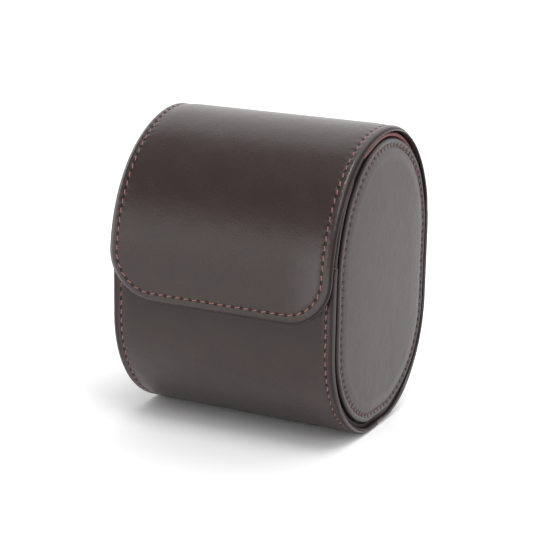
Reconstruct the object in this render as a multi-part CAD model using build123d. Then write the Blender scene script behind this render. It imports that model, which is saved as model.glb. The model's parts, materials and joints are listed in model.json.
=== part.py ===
"""Single-watch display and travel case in leather, standing on its rounded base.

Frame: X runs along the case from end to end, -Y is the front with the flap, +Z is up.
The origin is the centre of the flat that the case stands on. All sizes are in millimetres.

The case is an oval strip with two padded ends. The strip is leather over board over lining.
It starts at the front lip, goes under the base and up the back, and ends at the fold.
Past the fold the same leather is the flap: it covers the top and hangs down the front.
"""

import math
import os

from build123d import *

# ---- driving dimensions: the whole case ----
STRIP_LENGTH = 80.6
BODY_DEPTH = 75.4
BASE_FLAT = 16.0
BASE_BLEND = 14.0
CROWN_HEIGHT = 102.2
CROWN_Y = 1.0
FRONT_SPRING_Z = 56.5
BACK_SPRING_Z = 60.2
FOLD_ANGLE = 22.0
LIP_HEIGHT = 66.0
FLAP_OVERLAP = 22.2
FLAP_CORNER_RADIUS = 16.0

# ---- layers of the strip ----
LEATHER = 1.0
TURN_IN = 0.8
BODY_BOARD = 1.5
FLAP_BOARD = 1.0
BODY_LINING = 0.7
FLAP_LINING = 0.8
HEM_WIDTH = 4.7
LIP_TURN = 9.0
EDGE_ROUND = 0.55

# ---- clearances ----
FLAP_REST_GAP = 0.3
FLAP_SIDE_GAP = 0.3
FOLD_GAP = 0.3
GLUE_GAP = 0.1
BOARD_FOLD_RELIEF = 3.0

# ---- ends ----
END_CROWN_DROP = 0.3
END_RIM_TOP = 93.0
END_BOARD = 2.0
END_LINING = 0.6
END_LINING_LAP = 0.3
WELT_WIDTH = 1.5
WELT_RISE = 1.9
WELT_CREST_FLAT = 0.2
COVER_LEATHER = 0.9
COVER_RIM_RISE = 2.5
COVER_RIM_ROUND = 1.1
COVER_SEAM_DEPTH = 0.6
DOME_ABOVE_RIM = 0.8
DOME_EDGE_WALL = 0.2
SEAM_FROM_RIM = 2.6
SEAM_WIDTH = 0.8

# ---- magnets that hold the flap shut ----
MAGNET_DIAMETER = 6.0
MAGNET_SPACING = 40.0
MAGNET_FROM_FLAP_EDGE = 9.2
MAGNET_FIT = 0.05

# ---- watch pillow ----
PILLOW_DEPTH = 46.0
PILLOW_HEIGHT = 62.0
PILLOW_END_GAP = 1.2
PILLOW_SEAT_GAP = 0.3
PILLOW_SLEEVE = 1.0
PILLOW_END_THICKNESS = 2.4
PILLOW_END_ROUND = 1.6

# ---- worked-out values ----
HALF_LENGTH = STRIP_LENGTH / 2
HALF_DEPTH = BODY_DEPTH / 2
BASE_CENTRE_Z = math.sqrt(HALF_DEPTH**2 - (BASE_FLAT / 2) ** 2)
BODY_WALL = LEATHER + BODY_BOARD + BODY_LINING
FLAP_WALL = LEATHER + FLAP_BOARD + FLAP_LINING
FLAP_PROUD = FLAP_WALL + FLAP_REST_GAP
STRIP_EDGE = LEATHER + TURN_IN
FLAP_EDGE = LEATHER + FLAP_LINING
FLAP_EDGE_HEIGHT = LIP_HEIGHT - FLAP_OVERLAP
FLAP_FIELD_MARGIN = HEM_WIDTH + FLAP_SIDE_GAP
FLAP_BOARD_MARGIN = FLAP_FIELD_MARGIN + FLAP_LINING
END_CROWN_HEIGHT = CROWN_HEIGHT - END_CROWN_DROP
END_INNER_X = HALF_LENGTH - HEM_WIDTH
END_OUTER_X = END_INNER_X + END_BOARD
CAVITY_HALF = END_INNER_X - END_LINING
END_BOARD_INSET = STRIP_EDGE + GLUE_GAP
END_LINING_INSET = BODY_WALL - END_LINING_LAP
WELT_OUTER_INSET = END_BOARD_INSET + GLUE_GAP
WELT_INNER_INSET = WELT_OUTER_INSET + WELT_WIDTH
WELT_ROUND = (WELT_WIDTH - WELT_CREST_FLAT) / 2
COVER_INSET = WELT_INNER_INSET + GLUE_GAP
COVER_DOME_RISE = COVER_RIM_RISE + DOME_ABOVE_RIM
COVER_DOME_ROUND = COVER_SEAM_DEPTH + DOME_ABOVE_RIM - DOME_EDGE_WALL
SEAM_INSET = COVER_INSET + SEAM_FROM_RIM
MAGNET_RADIUS = MAGNET_DIAMETER / 2
MAGNET_HEIGHT = FLAP_EDGE_HEIGHT + MAGNET_FROM_FLAP_EDGE
PILLOW_HALF = CAVITY_HALF - PILLOW_END_GAP
SLEEVE_HALF = PILLOW_HALF - PILLOW_END_THICKNESS
FOLD_CUT = HALF_DEPTH / 2
FAR = 2 * CROWN_HEIGHT


def fold_frame():
    """Point of the outer face where the strip folds, and the outward direction there (Y, Z)."""
    half_width = HALF_DEPTH - CROWN_Y
    half_height = CROWN_HEIGHT - BACK_SPRING_Z
    outward = Vector(1, 0).rotate(Axis.Z, FOLD_ANGLE)
    turn = math.atan2(half_height * outward.Y, half_width * outward.X)
    reach = Vector(half_width * math.cos(turn), half_height * math.sin(turn))
    return Vector(CROWN_Y, BACK_SPRING_Z) + reach, outward


FOLD_POINT, FOLD_OUTWARD = fold_frame()
FOLD_ALONG = FOLD_OUTWARD.rotate(Axis.Z, 90)


def oval(inset, crown=CROWN_HEIGHT, proud=0.0):
    """Closed oval section, `inset` inside the outer face, with its front `proud` of the body."""
    side = HALF_DEPTH - inset
    front = side + proud
    top = crown - inset
    base_angle = math.degrees(math.asin((BASE_CENTRE_Z - inset) / side))
    front_angle = math.degrees(math.asin((BASE_CENTRE_Z - inset) / front))
    back_arc = EllipticalCenterArc(
        (CROWN_Y, BACK_SPRING_Z), side - CROWN_Y, top - BACK_SPRING_Z, 0, arc_size=90
    )
    front_arc = EllipticalCenterArc(
        (CROWN_Y, FRONT_SPRING_Z), front + CROWN_Y, top - FRONT_SPRING_Z, 90, arc_size=90
    )
    front_side = Line(front_arc @ 1, (-front, BASE_CENTRE_Z))
    front_base = CenterArc((0, BASE_CENTRE_Z), front, 180, front_angle)
    back_base = CenterArc((0, BASE_CENTRE_Z), side, 360 - base_angle, base_angle)
    flat = Line(front_base @ 1, back_base @ 0)
    back_side = Line(back_base @ 1, back_arc @ 0)
    edges = [back_arc, front_arc, front_side, front_base, flat, back_base, back_side]
    section = make_face(edges)
    return fillet(section.vertices().sort_by(Axis.Y)[:2], BASE_BLEND - inset)


def end_oval(inset):
    """Oval of the end pieces, which stop a little lower than the flap that closes over them."""
    return oval(inset, crown=END_CROWN_HEIGHT)


def flap_oval(inset):
    """Oval that the flap follows: as the body's, but proud of it in front."""
    return oval(inset, proud=FLAP_PROUD)


def polygon(*points):
    """Face with straight sides in the section plane."""
    return make_face(Polyline(*points, close=True))


def fold_line(distance):
    """Inner and outer end of a line across the strip, `distance` past the fold."""
    middle = FOLD_POINT + FOLD_ALONG * distance
    inner = middle - FOLD_OUTWARD * FOLD_CUT
    outer = middle + FOLD_OUTWARD * FOLD_CUT
    return inner, outer


def body_zone(lip_drop=0.0, fold_drop=0.0):
    """Where the strip is body: below the lip in front and below the fold at the back."""
    inner, outer = fold_line(-FOLD_GAP / 2 - fold_drop)
    lip = LIP_HEIGHT - lip_drop
    return polygon(
        (-FAR, -FAR), (-FAR, lip), (0, lip), (inner.X, inner.Y), (outer.X, outer.Y), (FAR, -FAR)
    )


def flap_zone(edge_margin=0.0, fold_margin=0.0):
    """Where the strip is flap: past the fold and above the flap's lower edge."""
    inner, outer = fold_line(FOLD_GAP / 2 + fold_margin)
    edge = FLAP_EDGE_HEIGHT + edge_margin
    return polygon(
        (-FAR, edge), (0, edge), (inner.X, inner.Y), (outer.X, outer.Y), (FAR, FAR), (-FAR, FAR)
    )


def slab(section, start_x, end_x):
    """Section drawn out along X from start_x to end_x."""
    return Pos(start_x, 0, 0) * extrude(Plane.YZ * section, amount=end_x - start_x)


def across(section, half_length):
    """Section drawn out along X, the same amount to both sides."""
    return slab(section, -half_length, half_length)


def rounded_drum(section):
    """Section drawn out over the strip's whole length, with both rims rounded."""
    drum = across(section, HALF_LENGTH)
    ends = drum.faces().sort_by(Axis.X)
    return fillet(ends[0].edges() + ends[-1].edges(), EDGE_ROUND)


def flap_front(margin):
    """Block with the flap's front outline, `margin` inside it, through the whole depth."""
    half = HALF_LENGTH - margin
    low = FLAP_EDGE_HEIGHT + margin
    outline = Pos(0, (low + FAR) / 2) * Rectangle(2 * half, FAR - low)
    corners = outline.vertices().sort_by(Axis.Y)[:2]
    outline = fillet(corners, FLAP_CORNER_RADIUS - margin)
    return extrude(Plane.XZ * outline, amount=FAR / 2, both=True)


def magnet_post(side, radius):
    """Round post along Y at one magnet's place, through the front of the flap and the body."""
    standing = (Align.CENTER, Align.CENTER, Align.MIN)
    post = Rot(90, 0, 0) * Cylinder(radius, FAR, align=standing)
    return Pos(side * MAGNET_SPACING / 2, 0, MAGNET_HEIGHT) * post


def mirrored(solid):
    """The same piece for the other end."""
    return mirror(solid, about=Plane.YZ)


# ---- body strip ----
def end_rim():
    """Right hem where it goes on above the lip, on the end board and under the closed flap."""
    ring = (oval(0) & flap_oval(FLAP_EDGE + FLAP_REST_GAP)) - oval(STRIP_EDGE)
    foot = LIP_HEIGHT - LEATHER
    zone = polygon((-FAR, foot), (0, foot), (0, END_RIM_TOP), (-FAR, END_RIM_TOP))
    return slab(ring & zone, END_INNER_X, HALF_LENGTH)


def body_leather():
    """Outer leather: skin, turned-in hems at both ends, and the turn over the front lip."""
    shell = rounded_drum(oval(0)) - across(oval(LEATHER), HALF_LENGTH)
    skin = shell & across(body_zone(), HALF_LENGTH)
    hem_ring = (oval(LEATHER) - oval(STRIP_EDGE)) & body_zone()
    hem = slab(hem_ring, END_INNER_X, HALF_LENGTH)
    lip_top = polygon((-FAR, LIP_HEIGHT - LEATHER), (0, LIP_HEIGHT - LEATHER), (0, FAR), (-FAR, FAR))
    over = (oval(LEATHER) - oval(BODY_WALL)) & body_zone() & lip_top
    turn_low = LIP_HEIGHT - LIP_TURN
    lip_inside = polygon((-FAR, turn_low), (0, turn_low), (0, FAR), (-FAR, FAR))
    down = (oval(LEATHER + BODY_BOARD) - oval(BODY_WALL)) & body_zone() & lip_inside
    turn = across(over, CAVITY_HALF) + across(down, CAVITY_HALF)
    rim = end_rim()
    return skin + hem + mirrored(hem) + rim + mirrored(rim) + turn


def body_board_layer():
    """The layer of the strip that the body's board fills, magnets included."""
    ring = oval(LEATHER) - oval(LEATHER + BODY_BOARD)
    return across(ring & body_zone(LEATHER, BOARD_FOLD_RELIEF), END_INNER_X)


def body_board():
    """Stiffening board between the outer leather and the lining, with holes for the magnets."""
    holes = [magnet_post(side, MAGNET_RADIUS + MAGNET_FIT) for side in (-1, 1)]
    return body_board_layer() - holes


def body_lining():
    """Lining of the front, the base and the back, between the two end linings."""
    ring = oval(LEATHER + BODY_BOARD) - oval(BODY_WALL)
    return across(ring & body_zone(LIP_TURN), CAVITY_HALF)


def body_magnet(side):
    """Disc magnet in the board of the body's front."""
    return body_board_layer() & magnet_post(side, MAGNET_RADIUS)


# ---- ends ----
def end_board():
    """Board that closes the right end, inside the turned-in hem."""
    return slab(end_oval(END_BOARD_INSET), END_INNER_X, END_OUTER_X)


def end_lining():
    """Lining on the inner face of the end board."""
    return slab(end_oval(END_LINING_INSET), CAVITY_HALF, END_INNER_X)


def welt():
    """Whipped piping that fills the groove between the strip and the padded end."""
    ring = end_oval(WELT_OUTER_INSET) - end_oval(WELT_INNER_INSET)
    cord = slab(ring, END_OUTER_X, END_OUTER_X + WELT_RISE)
    crest = cord.faces().sort_by(Axis.X)[-1]
    return fillet(crest.edges(), WELT_ROUND)


def end_foam():
    """Foam pad between the end board and its leather cover."""
    pad = slab(
        end_oval(COVER_INSET + COVER_LEATHER),
        END_OUTER_X,
        END_OUTER_X + COVER_RIM_RISE - COVER_SEAM_DEPTH - COVER_LEATHER,
    )
    crown = slab(
        end_oval(SEAM_INSET + SEAM_WIDTH / 2 + COVER_LEATHER),
        END_OUTER_X,
        END_OUTER_X + COVER_DOME_RISE - COVER_LEATHER,
    )
    return pad + crown


def end_cover():
    """Leather cover of the end: rounded rim, sewn-down seam and padded centre."""
    rim = slab(end_oval(COVER_INSET), END_OUTER_X, END_OUTER_X + COVER_RIM_RISE)
    rim = fillet(rim.faces().sort_by(Axis.X)[-1].edges(), COVER_RIM_ROUND)
    seam_floor = END_OUTER_X + COVER_RIM_RISE - COVER_SEAM_DEPTH
    rim -= slab(end_oval(SEAM_INSET - SEAM_WIDTH / 2), seam_floor, END_OUTER_X + COVER_DOME_RISE)
    dome = slab(end_oval(SEAM_INSET + SEAM_WIDTH / 2), seam_floor, END_OUTER_X + COVER_DOME_RISE)
    dome = fillet(dome.faces().sort_by(Axis.X)[-1].edges(), COVER_DOME_ROUND)
    return rim + dome - end_foam()


# ---- flap ----
def flap_layer(outer_inset, inner_inset, margin=0.0, fold_margin=0.0):
    """Layer of the flap between two insets, `margin` inside its outline and past the fold."""
    ring = flap_oval(outer_inset) - flap_oval(inner_inset)
    return across(ring & flap_zone(margin, fold_margin), HALF_LENGTH) & flap_front(margin)


def flap_leather():
    """Outer leather of the flap, from the fold over the crown to the rounded front corners."""
    shell = rounded_drum(flap_oval(0)) - across(flap_oval(LEATHER), HALF_LENGTH)
    return shell & across(flap_zone(), HALF_LENGTH) & flap_front(0)


def flap_board_layer():
    """The layer that the flap's board fills, magnets included: inside the seam and the fold."""
    fold_margin = BOARD_FOLD_RELIEF + FLAP_LINING
    return flap_layer(LEATHER, LEATHER + FLAP_BOARD, FLAP_BOARD_MARGIN, fold_margin)


def flap_board():
    """Stiffening board of the flap, with holes for the magnets."""
    holes = [magnet_post(side, MAGNET_RADIUS + MAGNET_FIT) for side in (-1, 1)]
    return flap_board_layer() - holes


def flap_lining():
    """Lining of the flap: flat against the leather at the seam, raised over the board."""
    border = flap_layer(LEATHER, FLAP_EDGE)
    raised = flap_layer(LEATHER, FLAP_WALL, FLAP_FIELD_MARGIN, BOARD_FOLD_RELIEF)
    return border + raised - flap_board_layer()


def flap_magnet(side):
    """Disc magnet in the flap, opposite the one in the body."""
    return flap_board_layer() & magnet_post(side, MAGNET_RADIUS)


# ---- watch pillow ----
def pillow_oval(inset):
    """Section of the pillow, standing on the lining of the base."""
    seat = BODY_WALL + PILLOW_SEAT_GAP
    section = SlotOverall(PILLOW_HEIGHT - 2 * inset, PILLOW_DEPTH - 2 * inset, rotation=90)
    return Pos(0, seat + PILLOW_HEIGHT / 2) * section


def pillow_core():
    """Foam core that gives the pillow its shape."""
    return across(pillow_oval(PILLOW_SLEEVE), SLEEVE_HALF)


def pillow_sleeve():
    """Soft sleeve that the watch strap closes round."""
    return across(pillow_oval(0) - pillow_oval(PILLOW_SLEEVE), SLEEVE_HALF)


def pillow_end():
    """Padded disc sewn into the right end of the sleeve."""
    disc = slab(pillow_oval(0), SLEEVE_HALF, PILLOW_HALF)
    return fillet(disc.faces().sort_by(Axis.X)[-1].edges(), PILLOW_END_ROUND)


def build():
    """All nodes of the case, by name."""
    right = {
        "end_board": end_board(),
        "end_lining": end_lining(),
        "welt": welt(),
        "end_foam": end_foam(),
        "end_cover": end_cover(),
        "pillow_end": pillow_end(),
    }
    nodes = {
        "body_leather": body_leather(),
        "body_board": body_board(),
        "body_lining": body_lining(),
        "flap_leather": flap_leather(),
        "flap_board": flap_board(),
        "flap_lining": flap_lining(),
        "pillow_core": pillow_core(),
        "pillow_sleeve": pillow_sleeve(),
    }
    for name, solid in right.items():
        nodes["right_" + name] = solid
        nodes["left_" + name] = mirrored(solid)
    for name, side in (("left", -1), ("right", 1)):
        nodes[name + "_body_magnet"] = body_magnet(side)
        nodes[name + "_flap_magnet"] = flap_magnet(side)
    return nodes


os.makedirs("parts", exist_ok=True)
for node, solid in build().items():
    solid.label = node
    export_step(solid, "parts/" + node + ".step")
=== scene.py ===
# %% [markdown]
# # A leather display and travel case for one watch
#
# The case is an oval drum that stands on its rounded base. One strip of leather wraps it: up the
# front, under the base, up the back and over the top, where it comes down as the flap. Two padded
# ends close the drum, with a whipped welt between each end and the strip.
#
# The CAD frame gives the exact sizes and the bodies that move. This script dresses that frame: each
# soft piece is cut flat, sewn and bent round the frame, much as the maker does it on the bench.

import json
import math

import bmesh
import bpy
import numpy as np
from mathutils import Matrix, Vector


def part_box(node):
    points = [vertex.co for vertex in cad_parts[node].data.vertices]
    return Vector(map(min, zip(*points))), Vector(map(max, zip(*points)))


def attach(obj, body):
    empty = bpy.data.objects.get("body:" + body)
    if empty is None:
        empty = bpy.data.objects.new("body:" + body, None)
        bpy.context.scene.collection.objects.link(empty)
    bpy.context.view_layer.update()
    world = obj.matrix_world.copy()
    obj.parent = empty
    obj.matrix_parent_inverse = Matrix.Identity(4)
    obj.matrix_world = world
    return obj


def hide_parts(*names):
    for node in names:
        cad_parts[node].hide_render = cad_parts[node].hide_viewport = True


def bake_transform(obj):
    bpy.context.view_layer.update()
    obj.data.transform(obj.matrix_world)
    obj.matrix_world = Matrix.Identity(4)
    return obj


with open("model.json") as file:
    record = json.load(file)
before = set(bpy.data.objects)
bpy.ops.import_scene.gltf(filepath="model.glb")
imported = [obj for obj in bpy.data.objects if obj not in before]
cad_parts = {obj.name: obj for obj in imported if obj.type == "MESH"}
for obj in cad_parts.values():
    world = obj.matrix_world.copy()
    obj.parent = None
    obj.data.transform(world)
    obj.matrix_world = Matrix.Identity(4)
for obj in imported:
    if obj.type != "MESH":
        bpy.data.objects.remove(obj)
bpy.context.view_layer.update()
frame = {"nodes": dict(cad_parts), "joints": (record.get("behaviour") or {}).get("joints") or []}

# %% [markdown]
# ## Sizes
#
# Leather work is measured in millimetres, so the script thinks in millimetres and turns a piece
# into metres when its mesh is finished. What the CAD solids can tell is read from them, so that
# the dressed case follows the solids if they change.

# %% Sizes in millimetres
MM = 0.001
SIDES = ((1, "right"), (-1, "left"))


def corners(node):
    """The low and the high corner of a CAD node's box."""
    return [np.array(corner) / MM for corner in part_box(node)]


BODY_HIGH = corners("body_leather")[1]
FLAP_LOW, FLAP_HIGH = corners("flap_leather")
BOARD_HIGH = corners("right_end_board")[1]
END_FACE = BOARD_HIGH[0]
END_BOARD_INSET = 1.9
END_CROWN = BOARD_HIGH[2] + END_BOARD_INSET
RIM_TOP = 93.0
HALF_LENGTH, HALF_DEPTH = BODY_HIGH[:2]
CROWN = FLAP_HIGH[2]
FLAP_FRONT = -FLAP_LOW[1]
FLAP_EDGE = FLAP_LOW[2]
CROWN_Y = 1.0
BACK_SPRING, FRONT_SPRING = 60.2, 56.5
BASE_CENTRE = 36.84
BASE_BLEND = 14.0
LIP_TOP, LIP_END = 66.0, 57.0
LIP_ROUND = 1.6
BODY_WALL = 3.2
FOLD = next(j for j in frame["joints"] if j["name"] == "flap_hinge")
FOLD_POINT = np.array(FOLD["pos_m"][1:]) / MM
print("half length, half depth, crown:", HALF_LENGTH, HALF_DEPTH, CROWN)

# %% [markdown]
# ## A line in the side view
#
# Every layer of the case follows the same oval when it is seen from the side. A maker measures
# along that oval with a tape. `Path` does the same: it is read by its length, and it knows which
# way is out. A Blender curve could hold the oval too, but here every vertex and every stitch asks
# for its own place, and numpy gives them all at once.


# %% A line that is read by its length
ARC_POINTS = 721
PATH_STEP = 0.1


def arc(centre, semi, start, stop):
    """Points of an arc in the side view; angles in degrees from the back, through the top."""
    turn = np.radians(np.linspace(start, stop, ARC_POINTS))
    return np.array(centre) + np.array(semi) * np.stack([np.cos(turn), np.sin(turn)], 1)


class Path:
    """A line in the side view (Y, Z). `out` is 1 if outside is on its right, else -1."""

    def __init__(self, runs, out=1):
        raw = np.vstack(runs)
        length = np.r_[0, np.cumsum(np.hypot(*np.diff(raw, axis=0).T))]
        self.length = length[-1]
        self.s = np.linspace(0, self.length, int(self.length / PATH_STEP))
        self.point = np.stack([np.interp(self.s, length, raw[:, k]) for k in (0, 1)], 1)
        along = np.gradient(self.point, self.s, axis=0)
        along /= np.hypot(*along.T)[:, None]
        self.normal = out * np.stack([along[:, 1], -along[:, 0]], 1)

    def at(self, t, h):
        """Points at length t and height h above the line."""
        here = [np.interp(t, self.s, self.point[:, k]) for k in (0, 1)]
        out = [np.interp(t, self.s, self.normal[:, k]) for k in (0, 1)]
        size = np.hypot(*out)
        return here[0] + out[0] * h / size, here[1] + out[1] * h / size

    def places(self, x, t, h):
        """Places in space: x across the case, and the point at length t and height h."""
        return np.stack([x, *self.at(t, h)], 1)

    def near(self, y, z):
        """The length at which the line passes closest to a point."""
        return self.s[np.hypot(self.point[:, 0] - y, self.point[:, 1] - z).argmin()]


def lower(side, inset):
    """From the middle of the base to the side: +1 is the back, -1 the front."""
    blend_y = math.sqrt((HALF_DEPTH - BASE_BLEND) ** 2 - (BASE_CENTRE - BASE_BLEND) ** 2)
    meet = math.degrees(math.atan2(BASE_BLEND - BASE_CENTRE, blend_y))
    radius = HALF_DEPTH - inset
    run = np.vstack(
        [
            [(0, inset)],
            arc((blend_y, BASE_BLEND), (BASE_BLEND - inset,) * 2, -90, meet),
            arc((0, BASE_CENTRE), (radius, radius), meet, 0),
        ]
    )
    return run * (side, 1)


def back_top(inset, crown):
    """The back's upper quarter, up to the crown."""
    semi = (HALF_DEPTH - inset - CROWN_Y, crown - inset - BACK_SPRING)
    return arc((CROWN_Y, BACK_SPRING), semi, 0, 90)


def front_top(inset, crown, front, start=90, stop=180):
    """The front's upper quarter, from the crown down."""
    semi = (front - inset + CROWN_Y, crown - inset - FRONT_SPRING)
    return arc((CROWN_Y, FRONT_SPRING), semi, start, stop)


def angle_at(height, semi):
    """Angle at which a front quarter of that half height passes a height."""
    return 180 - math.degrees(math.asin((height - FRONT_SPRING) / semi))


back_and_flap = Path(
    [lower(1, 0), back_top(0, CROWN), front_top(0, CROWN, FLAP_FRONT), [(-FLAP_FRONT, FLAP_EDGE)]]
)
FOLD_AT = back_and_flap.near(*FOLD_POINT)
CROWN_AT = back_and_flap.near(CROWN_Y, CROWN)
print("back and flap, mm along the strip:", back_and_flap.length, "fold at", FOLD_AT)

# %% [markdown]
# The body's front panel of leather starts under the base, climbs the front, rolls over the lip and
# ends a little way down the inside. The roll is a half circle between the outer and the inner oval.
# It is made from the same arcs as the flap over it, so the two lie close together all the way down.

# %% The path of the front panel
lip_low = LIP_TOP - LIP_ROUND
inner_crown = CROWN - BODY_WALL - FRONT_SPRING
front_outer = front_top(0, CROWN, HALF_DEPTH, 180, angle_at(lip_low, CROWN - FRONT_SPRING))
front_inner = front_top(
    BODY_WALL, CROWN, HALF_DEPTH, angle_at(lip_low, inner_crown), angle_at(LIP_END, inner_crown)
)
lip_y = (front_outer[-1][0] + front_inner[0][0]) / 2
lip_half = (front_inner[0][0] - front_outer[-1][0]) / 2
lip_roll = arc((lip_y, lip_low), (lip_half, LIP_ROUND), 180, 0)
front_panel = Path([lower(-1, 0), front_outer, lip_roll, front_inner], out=-1)
LIP_AT = front_panel.near(*front_outer[-1])
print("front panel, mm along the strip:", front_panel.length, "lip at", LIP_AT)

# %% [markdown]
# ## Colours and nodes
#
# A colour is given in sRGB and must be turned to linear light before a shader uses it. One
# small function adds a node with its settings and its links. The few recipes under it are the
# nodes that every finish here needs, so that each material reads as a list of what the maker does.
# Node groups could hold them as well, but then a reader would have to open each group.


# %% Helpers for materials
def linear(hex_colour):
    """An sRGB hex value as linear RGBA."""
    parts = [int(hex_colour[k : k + 2], 16) / 255 for k in (1, 3, 5)]
    return [c / 12.92 if c <= 0.04045 else ((c + 0.055) / 1.055) ** 2.4 for c in parts] + [1]


def wire(tree, node, inputs):
    """Gives each input its value, or a link from another node's output."""
    for key, value in inputs.items():
        if isinstance(value, bpy.types.NodeSocket):
            tree.links.new(value, node.inputs[key])
        else:
            node.inputs[key].default_value = value


def add(tree, kind, inputs=None, **settings):
    """The outputs of a new node that has these settings and inputs."""
    made = tree.nodes.new(kind)
    for key, value in settings.items():
        setattr(made, key, value)
    wire(tree, made, inputs or {})
    return made.outputs


def maths(tree, operation, *values):
    """The result of one sum."""
    return add(tree, "ShaderNodeMath", dict(enumerate(values)), operation=operation)[0]


def ramp(tree, value, low, high, start=0.0, stop=1.0, shape="LINEAR"):
    """`start` where the value is `low`, `stop` where it is `high`."""
    ends = {"From Min": low, "From Max": high, "To Min": start, "To Max": stop}
    return add(tree, "ShaderNodeMapRange", {"Value": value, **ends}, interpolation_type=shape)[0]


def soft_ramp(tree, value, low, high, start=0.0, stop=1.0):
    """A ramp that starts and stops softly."""
    return ramp(tree, value, low, high, start, stop, "SMOOTHSTEP")


def between(tree, share, first, second):
    """A number that goes from the first to the second."""
    return add(tree, "ShaderNodeMix", {0: share, 2: first, 3: second})[0]


def tinted(tree, share, first, second):
    """A colour that goes from the first to the second; each is hex, linear RGBA or a link."""
    first, second = (linear(c) if isinstance(c, str) else c for c in (first, second))
    return add(tree, "ShaderNodeMix", {0: share, 6: first, 7: second}, data_type="RGBA")[2]


def noise(tree, where, scale, detail, roughness=0.5):
    """Soft random patches, 0 to 1."""
    settings = {"Vector": where, "Scale": scale, "Detail": detail, "Roughness": roughness}
    return add(tree, "ShaderNodeTexNoise", settings)[0]


def bump(tree, strength, distance, height, normal=None, **settings):
    """A normal bent by a height; it may start from another bump's normal."""
    inputs = {"Strength": strength, "Distance": distance, "Height": height}
    if normal:
        inputs["Normal"] = normal
    return add(tree, "ShaderNodeBump", inputs, **settings)[0]


def read_map(tree, name):
    """The parts of a UV map: U is 0, V is 1."""
    return add(tree, "ShaderNodeSeparateXYZ", {0: add(tree, "ShaderNodeUVMap", uv_map=name)[0]})


def material(name):
    """A new material with its node tree and its shader."""
    made = bpy.data.materials.new(name)
    made.use_nodes = True
    print("finish:", name)
    return made, made.node_tree, made.node_tree.nodes["Principled BSDF"]


# %% [markdown]
# ## Smooth calf leather, dyed dark brown
#
# Calf leather is drum dyed, lightly waxed and plated smooth. Up close it has a fine grain of
# rounded cells about half a millimetre wide. It takes a soft, broad sheen and no mirror image.
# Where the awl and the thread pull on it, a slit opens at each hole and the leather puckers between
# holes.
#
# The grain could be a picture, but nodes stay sharp at any distance. It follows the flat cut of the
# leather through the map `flat`, in millimetres. The holes follow the seam through the map `seam`:
# whole numbers of U are holes, and V is the distance in millimetres inwards from the stitches.
#
# A third map paints light and shade from place to place. Its value is added to the specular
# level, so a raised value paints a highlight on a ridge or a patch. Below zero it paints shade:
# the leather turns towards a blackish shade colour and grows rougher.

# %% The leather material
STITCH_PITCH, END_PITCH = 3.1, 2.6
GRAIN, PATCHES, SLACK = 0.55, 0.11, 0.16
GRAIN_DEEP, SLACK_DEEP, PUCKER_DEEP, HOLE_DEEP = 0.06 * MM, 0.22 * MM, 0.5 * MM, 0.4 * MM
PUCKER_REACH = 2.4
# Painted shade: the blackish colour that painted light below zero turns to, and the dark colour
# painted into each stitch slit
PAINTED_SHADE_TONE, HOLE_SHADE = "#15100f", "#22100f"
FULL_SHADE_AT, SHADED_ROUGH = -0.4, 0.6


def calf_leather(name, colour, worn, rough, pitch=STITCH_PITCH, hole=(0.5, 0.3)):
    """Dyed calf leather; `worn` tints its lighter patches.

    `hole` is half a hole's size along and across the seam, and `pitch` is from hole to hole.
    """
    made, tree, shader = material(name)
    flat = add(tree, "ShaderNodeUVMap", uv_map="flat")[0]
    grain = {"Vector": flat, "Scale": 1 / GRAIN, "Randomness": 1.0}
    cells = add(tree, "ShaderNodeTexVoronoi", grain, feature="SMOOTH_F1")["Distance"]
    fine = noise(tree, flat, 1.6, 4.0, 0.6)
    # Painted light and shade: this map raises the specular level, and below zero it turns the
    # colour to painted shade
    painted_light = read_map(tree, "painted_light")[0]
    shaded = ramp(tree, painted_light, FULL_SHADE_AT, 0.0, 1.0, 0.0)
    patches = ramp(tree, noise(tree, flat, PATCHES, 3.0), 0.35, 0.75)
    tone = tinted(tree, shaded, tinted(tree, patches, colour, worn), PAINTED_SHADE_TONE)
    normal = bump(tree, 0.5, GRAIN_DEEP, maths(tree, "ADD", cells, fine))
    normal = bump(tree, 0.5, SLACK_DEEP, noise(tree, flat, SLACK, 1.5), normal)
    if hole:
        seam = read_map(tree, "seam")
        # PINGPONG runs 0-1-0 over two stitches, so the way to a hole is measured from both sides
        along = maths(tree, "PINGPONG", seam[0], 1.0)
        near = maths(tree, "MINIMUM", along, maths(tree, "SUBTRACT", 1.0, along))
        q_part = maths(tree, "MULTIPLY", near, pitch / hole[0])
        d_part = maths(tree, "MULTIPLY", seam[1], 1 / hole[1])
        reach = add(tree, "ShaderNodeCombineXYZ", {0: q_part, 1: d_part})[0]
        radius = add(tree, "ShaderNodeVectorMath", {0: reach}, operation="LENGTH")["Value"]
        # Painted shade in each awl slit: the colour darkens there
        slit = soft_ramp(tree, radius, 0.7, 1.6, 1.0, 0.0)
        tone = tinted(tree, slit, tone, HOLE_SHADE)
        fade = soft_ramp(tree, maths(tree, "ABSOLUTE", seam[1]), 0.0, PUCKER_REACH, 1.0, 0.0)
        normal = bump(tree, 0.6, PUCKER_DEEP, maths(tree, "MULTIPLY", near, fade), normal)
        normal = bump(tree, 1.0, HOLE_DEEP, slit, normal, invert=True)
    roughness = ramp(tree, fine, 0.3, 0.7, rough - 0.04, rough + 0.05)
    sheen = {
        "Base Color": tone,
        "Roughness": between(tree, shaded, roughness, SHADED_ROUGH),
        "Normal": normal,
        "Specular IOR Level": maths(tree, "ADD", 0.5, painted_light),
        "IOR": 1.5,
    }
    wire(tree, shader, sheen)
    return made


# Smooth dark calf for the strip, a slightly duller piece for the ends, and edges without holes
strip_leather = calf_leather("calf_leather_dark_brown", "#312422", "#372926", 0.30)
cover_leather = calf_leather(
    "calf_leather_end_panel", "#2f2624", "#352c2a", 0.33, END_PITCH, (0.36, 0.6)
)
plain_leather = calf_leather("calf_leather_edge", "#352a27", "#3c2f29", 0.3, hole=None)
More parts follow.
